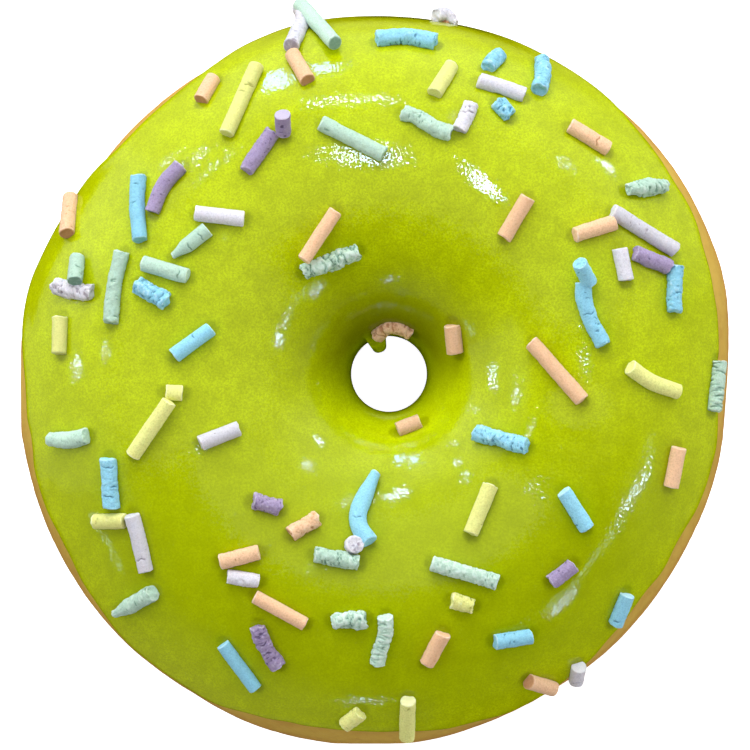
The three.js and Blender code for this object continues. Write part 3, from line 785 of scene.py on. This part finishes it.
class Looks:
    """The nodes of a material or of the world. Each method adds a node and gives what comes out of it."""

    def __init__(self, owner):
        owner.use_nodes = True
        self.owner = owner
        self.tree = owner.node_tree
        self.tree.nodes.clear()

    def add(self, kind, sockets=None, **settings):
        """A node of any kind, with its sockets, by name or number, set to values or linked to others."""
        made = self.tree.nodes.new(kind)
        for key, value in settings.items():
            setattr(made, key, value)
        for key, value in (sockets or {}).items():
            if isinstance(value, bpy.types.NodeSocket):
                self.tree.links.new(value, made.inputs[key])
            else:
                made.inputs[key].default_value = value
        return made

    def place(self):
        return self.add("ShaderNodeTexCoord").outputs["Object"]

    def value(self, attribute):
        return self.add("ShaderNodeAttribute", attribute_name=attribute).outputs["Fac"]

    def noise(self, size, detail=2.0, rough=0.5):
        """Noise from 0 to 1 with features of about that size in millimetres."""
        sockets = {"Vector": self.place(), "Scale": 1 / (size * MM), "Detail": detail, "Roughness": rough}
        return self.add("ShaderNodeTexNoise", sockets).outputs["Fac"]

    def ramp(self, value, start, end, low=0.0, high=1.0):
        """A smooth step of a value, from low at its start to high at its end."""
        sockets = {"Value": value, "From Min": start, "From Max": end, "To Min": low, "To Max": high}
        return self.add("ShaderNodeMapRange", sockets, interpolation_type="SMOOTHSTEP").outputs["Result"]

    def reach(self, length, start, end, high=1.0):
        """A smooth step of a length, from 0 at its start to high at its end, both in millimetres."""
        return self.ramp(length, start * MM, end * MM, 0, high)

    def math(self, operation, first, second):
        return self.add("ShaderNodeMath", {0: first, 1: second}, operation=operation).outputs[0]

    def times(self, first, second):
        return self.math("MULTIPLY", first, second)

    def vector(self, operation, *inputs):
        return self.add("ShaderNodeVectorMath", dict(enumerate(inputs)), operation=operation).outputs

    def mix(self, share, first, second):
        """A share of the second colour in the first."""
        return self.add("ShaderNodeMix", {0: share, 6: first, 7: second}, data_type="RGBA").outputs[2]

    def bump(self, height, depth):
        """Relief of that depth in millimetres."""
        return self.add("ShaderNodeBump", {"Height": height, "Distance": depth * MM}).outputs["Normal"]

    def finish(self, **sockets):
        """The surface, a principled shader. Sockets are named with _ for a space."""
        named = {key.replace("_", " "): value for key, value in sockets.items()}
        surface = self.add("ShaderNodeBsdfPrincipled", named).outputs[0]
        self.add("ShaderNodeOutputMaterial", {"Surface": surface})
        return self.owner


def crust_looks():
    """Fried dough: golden along the waist, browner below, with painted shade in its pores and wrinkle
    hollows, and a dull sheen.
    """
    looks = Looks(bpy.data.materials.new("fried crust"))
    height = looks.add("ShaderNodeSeparateXYZ", {"Vector": looks.place()}).outputs["Z"]
    level = looks.math("ADD", height, looks.times(looks.noise(9), 5 * MM))
    waist = looks.times(looks.reach(level, 10, 16), looks.reach(level, 30, 22))
    golden = looks.mix(looks.reach(height, 16.5, 19), linear(CRUST_WAIST), linear(CRUST_BESIDE_ICING))
    colour = looks.mix(looks.reach(level, 3, 9), linear(CRUST_SOLE), linear(CRUST_BELLY))
    colour = looks.mix(waist, colour, golden)
    mottle = looks.ramp(looks.noise(1.8, 5, 0.65), 0.4, 0.7, 0, 0.3)
    colour = looks.mix(mottle, colour, linear(CRUST_BELLY))
    # Painted shade in the pores and the wrinkles' hollows.
    colour = looks.mix(looks.times(looks.value("pores"), 0.5), colour, linear(CRUST_HOLLOW_SHADE))
    gloss = looks.ramp(looks.noise(3), 0.35, 0.65, 0.55, 0.75)
    grain = looks.bump(looks.noise(0.5, 4, 0.6), 0.1)
    return looks.finish(Base_Color=colour, Roughness=gloss, Specular_IOR_Level=0.12, Normal=grain)


def icing_looks():
    """Wet, and dimpled like orange peel, but dull where the light catches it least. Its colour carries
    painted shade low on its sides, in the hole and over the near half, and painted light on the hole's near
    walls.
    """
    looks = Looks(bpy.data.materials.new("green icing"))
    place = looks.place()
    x, y, z = looks.add("ShaderNodeSeparateXYZ", {"Vector": place}).outputs
    from_hole = looks.vector("SUBTRACT", place, (*(HOLE_MIDDLE * MM), 0))[0]
    from_hole = looks.vector("LENGTH", looks.vector("MULTIPLY", from_hole, (1, 1, 0))[0])["Value"]

    clouds = looks.ramp(looks.noise(2.6, 4, 0.7), 0.35, 0.65, 0, 0.65)
    colour = looks.mix(clouds, linear(ICING_COLOUR), linear(ICING_CLOUD))
    grains = looks.ramp(looks.noise(0.24, 3, 0.8), 0.38, 0.64, 0, 0.65)
    colour = looks.mix(grains, colour, linear(ICING_GRAIN_AND_SHADE))
    # Painted light: the walls of the hole are lighter towards its near and right sides.
    hole_light = looks.times(looks.reach(from_hole, 13, 5), looks.reach(looks.math("SUBTRACT", x, y), -4, 8))
    colour = looks.mix(looks.times(hole_light, 0.25), colour, linear(ICING_HOLE_LIGHT))
    # Painted shade over the top of the near half, where the window's light falls off.
    near_half_shade = looks.times(looks.reach(y, 0, -20), looks.reach(z, 22, 29))
    colour = looks.mix(looks.times(near_half_shade, 0.5), colour, linear(ICING_GRAIN_AND_SHADE))
    # Painted shade low on the outer sides.
    low = looks.times(looks.reach(z, 26, 13, 0.85), looks.reach(from_hole, 12, 20))
    colour = looks.mix(low, colour, linear(ICING_LOW_SHADE))
    # Painted shade in the hole, darkest on its far wall, which faces away from the window.
    hole_shade = looks.times(looks.reach(from_hole, 18, 6.5), looks.reach(z, 33, 21))
    hole_shade = looks.times(hole_shade, looks.reach(from_hole, 4.4, 6.5, 0.8))
    hole_shade = looks.times(hole_shade, looks.reach(y, -6, 6))
    colour = looks.mix(hole_shade, colour, linear(ICING_HOLE_SHADE))
    colour = looks.mix(looks.times(looks.value("shade"), 0.35), colour, linear(ICING_SHADE))

    dull = looks.math("ADD", looks.times(looks.value("dull"), 0.5), looks.noise(0.28, 1.5, 0.6))
    gloss = looks.ramp(dull, 0.675, 0.695, 0.05, 1)  # so steep that each speck is either wet or dull
    dimples = looks.bump(looks.noise(0.4, 0.3, 0.5), 0.018)
    return looks.finish(
        Base_Color=colour, Roughness=gloss, IOR=1.45, Specular_IOR_Level=0.32, Normal=dimples,
        Subsurface_Weight=0.15, Subsurface_Radius=(1.0, 0.9, 0.1), Subsurface_Scale=0.8 * MM,
    )


def sprinkle_looks(colour):
    """Pressed sugar: chalky and specked, whiter where it is worn, with painted highlight where it stands out
    and painted shade in its pits and cracks.
    """
    skin_colour, pit_shade_colour = SPRINKLE_COLOURS[colour]
    looks = Looks(bpy.data.materials.new("sprinkle " + colour))
    light, shade, speck = (linear(np.minimum(np.array(skin_colour) + more, 255)) for more in (10, -14, -34))
    body = looks.mix(looks.ramp(looks.value("tone"), -1, 1, 0.2, 0.8), light, shade)
    body = looks.mix(looks.ramp(looks.noise(0.22, 3, 0.8), 0.42, 0.66, 0, 0.6), body, speck)
    worn_and_lit = linear([share + (255 - share) * 0.45 for share in skin_colour])
    # Whiter where worn, and painted highlight where the rod stands out and on its rim.
    body = looks.mix(looks.ramp(looks.value("shade_and_wear"), -0.1, -0.6, 0, 0.7), body, worn_and_lit)
    # Painted shade in pits, cracks and creases, and on cut faces turned from the light.
    body = looks.mix(looks.ramp(looks.value("shade_and_wear"), 0.05, 0.9, 0, 0.85), body, linear(pit_shade_colour))
    grain = looks.bump(looks.noise(0.2, 4, 0.7), 0.09)
    return looks.finish(
        Base_Color=body, Roughness=0.85, Normal=grain, Specular_IOR_Level=0.25,
        Subsurface_Weight=0.3, Subsurface_Radius=(1.0, 0.7, 0.5), Subsurface_Scale=0.25 * MM,
    )


# ---- Dressing the frame ----

def dress(piece, material, node):
    piece.data.materials.append(material)
    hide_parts(node)
    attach(piece, "root")


dress(make_crust(), crust_looks(), "dough")
dress(make_icing(), icing_looks(), "icing")
for colour in SPRINKLE_COLOURS:
    dress(make_sprinkles(colour), sprinkle_looks(colour), "icing")


# ---- Floor, light and camera: their sizes and distances are in metres ----

FLOOR_HALF = 1.5
FLOOR_DROP = 0.1 * MM
FLOOR_GLOW = 1.0
FLOOR_MOTTLE = (40,)
FLOOR_GREY, FLOOR_PALER = (0.8, 0.8, 0.8, 1), (0.84, 0.84, 0.84, 1)

# The room's soft light. Each glow: how far its direction leans from straight up and towards which side,
# how far from its middle it has faded out, all in degrees, how bright its middle is, and its colour.
NEUTRAL, MINT = (1.0, 1.0, 1.0), (0.88, 0.96, 1.0)
ROOM = {
    "window": (50, 93, 50, 0.4, MINT),
    "window_low": (85, 93, 40, 1.2, MINT),
    "high_right": (38, 45, 42, 0.7, NEUTRAL),
    "far_left": (80, 135, 42, 1.3, MINT),
    "far_right": (80, 50, 42, 1.0, MINT),
    "left_wall": (75, 178, 50, 0.55, NEUTRAL),
    "right_wall": (80, 10, 50, 0.5, NEUTRAL),
    "right_low": (85, 328, 40, 0.12, NEUTRAL),
    "near_low": (95, 245, 45, 0.35, NEUTRAL),
    "table_far": (112, 90, 42, 0.5, NEUTRAL),
    "above": (0, 0, 110, 0.04, NEUTRAL),
}

# Soft light that leaves no glints. Each: its direction as above, how broad and how tall it looks in degrees,
# how bright its face is, and how far away it is. The near window's light falls off across the doughnut.
SOFTBOXES = {
    "window_near": (54, 98, 40, 32, 0.55, 0.22),
    "window_far": (54, 98, 38, 38, 3.15, 1.0),
    "ceiling": (5, 95, 60, 60, 0.55, 1.0),
    "left_high": (38, 172, 40, 40, 0.35, 1.0),
    "near": (80, 285, 50, 30, 1.3, 1.0),
    "left": (66, 178, 60, 60, 0.7, 1.0),
    "left_low": (90, 220, 60, 40, 0.15, 1.0),
    "right_low": (90, 320, 60, 40, 0.65, 1.0),
    "right": (90, 5, 60, 40, 1.0, 1.0),
}

# The lights that give the glints, and light nothing else. Each: the same, but with its colour at the end.
SPARK, PANE, PALE = (0.62, 0.8, 1.12), (0.16, 0.3, 0.8), (0.6, 0.95, 1.0)
LAMPS = {
    "wall_left": (75, 168, 60, 76, 0.5, PALE),
    "streak_right": (54, 325, 34, 1.8, 7, PALE),
    "streak_left": (72, 211, 8, 1.4, 9, PALE),
    "overhead": (14.5, 99, 11, 15, 50, SPARK),
    "overhead_right": (12.5, 71, 5.5, 17, 50, SPARK),
    "strip_far": (52, 93, 6, 3.4, 60, SPARK),
    "strip_far_left": (54.5, 100.5, 6, 3.6, 60, SPARK),
    "pane_left": (78.5, 110.5, 5, 13, 50, PANE),
    "pane_right": (77.5, 100.5, 8, 7, 50, PANE),
    "spot_inner_right": (72.5, 158, 1.2, 3, 45, SPARK),
    "spot_inner_low": (71, 135, 2, 1.5, 45, SPARK),
    "spot_left": (46.5, 128.5, 2, 3, 65, SPARK),
    "spot_left_low": (58.5, 130.5, 2, 2, 65, SPARK),
    "strip_left": (64, 177, 2.2, 4.5, 60, SPARK),
    "spot_left_high": (46, 172, 2.2, 2.4, 60, SPARK),
    "spot_left_top": (30, 160, 2, 2, 60, SPARK),
    "patch_near_hole": (68, 43, 4, 3, 65, SPARK),
    "spot_near_hole": (51, 50, 2.5, 1.5, 65, SPARK),
    "spot_far_right": (45, 74, 2, 3, 65, SPARK),
    "strip_right_high": (57, 340, 4, 3.2, 60, SPARK),
    "strip_right": (55, 334.5, 6, 3, 60, SPARK),
    "spot_right": (59, 310, 7, 1.2, 50, SPARK),
    "spot_front": (72, 268, 4, 1, 50, SPARK),
}
LAMPS_AWAY = 1.9
AIM = (0, 0, 22 * MM)

VIEW_MIDDLE = (0, -0.565 * MM)
VIEW_WIDTH = 93.75 * MM
VIEW_LEVEL = 22 * MM
CAMERA_AWAY = 1.6
SENSOR = 36


def make_floor():
    corners = [(x * FLOOR_HALF, y * FLOOR_HALF, -FLOOR_DROP) for x, y in ((-1, -1), (1, -1), (1, 1), (-1, 1))]
    mesh = bpy.data.meshes.new("floor")
    mesh.from_pydata(corners, [], [(0, 1, 2, 3)])
    floor = bpy.data.objects.new("floor", mesh)
    bpy.context.scene.collection.objects.link(floor)
    looks = Looks(bpy.data.materials.new("pale floor"))
    colour = looks.mix(looks.noise(*FLOOR_MOTTLE), FLOOR_GREY, FLOOR_PALER)
    floor.data.materials.append(looks.finish(
        Base_Color=colour, Roughness=0.9, Specular_IOR_Level=0,
        Emission_Color=(1, 1, 1, 1), Emission_Strength=FLOOR_GLOW,
    ))
    floor.visible_diffuse = floor.visible_glossy = False


def direction(lean, side):
    """A direction so many degrees from straight up, towards a side in degrees anticlockwise from +X."""
    lean, side = math.radians(lean), math.radians(side)
    return Vector((math.sin(lean) * math.cos(side), math.sin(lean) * math.sin(side), math.cos(lean)))


def make_lamp(name, lean, side, broad, tall, bright, colour, away):
    """A rectangular light that faces the doughnut."""
    toward = direction(lean, side)
    light = bpy.data.lights.new(name, "AREA")
    light.shape = "RECTANGLE"
    light.size = 2 * away * math.tan(math.radians(broad / 2))
    light.size_y = 2 * away * math.tan(math.radians(tall / 2))
    light.energy = bright * math.pi * light.size * light.size_y
    light.color = colour
    made = bpy.data.objects.new(name, light)
    made.location = Vector(AIM) + toward * away
    made.rotation_euler = toward.to_track_quat("Z", "Y").to_euler()
    bpy.context.scene.collection.objects.link(made)
    return made


def make_lamps():
    for name, (*shape, away) in SOFTBOXES.items():
        make_lamp(name, *shape, NEUTRAL, away).visible_glossy = False
    for name, shape in LAMPS.items():
        make_lamp(name, *shape, LAMPS_AWAY).visible_diffuse = False


def make_sky():
    world = bpy.data.worlds.new("pale room")
    looks = Looks(world)
    toward = looks.add("ShaderNodeTexCoord").outputs["Generated"]
    together = None
    for lean, side, reach, bright, colour in ROOM.values():
        nearness = looks.vector("DOT_PRODUCT", toward, tuple(direction(lean, side)))["Value"]
        level = looks.ramp(nearness, math.cos(math.radians(reach)), 1, 0, bright)
        glow = looks.add("ShaderNodeBackground", {"Color": (*colour, 1), "Strength": level}).outputs[0]
        together = looks.add("ShaderNodeAddShader", {0: together, 1: glow}).outputs[0] if together else glow
    looks.add("ShaderNodeOutputWorld", {"Surface": together})
    bpy.context.scene.world = world


def make_camera():
    camera = bpy.data.cameras.new("overhead")
    camera.sensor_width = SENSOR
    camera.lens = SENSOR * CAMERA_AWAY / VIEW_WIDTH
    made = bpy.data.objects.new("overhead", camera)
    made.location = (*VIEW_MIDDLE, VIEW_LEVEL + CAMERA_AWAY)
    bpy.context.scene.collection.objects.link(made)
    bpy.context.scene.camera = made


make_floor()
make_lamps()
make_sky()
make_camera()
bpy.context.scene.view_settings.view_transform = "Standard"
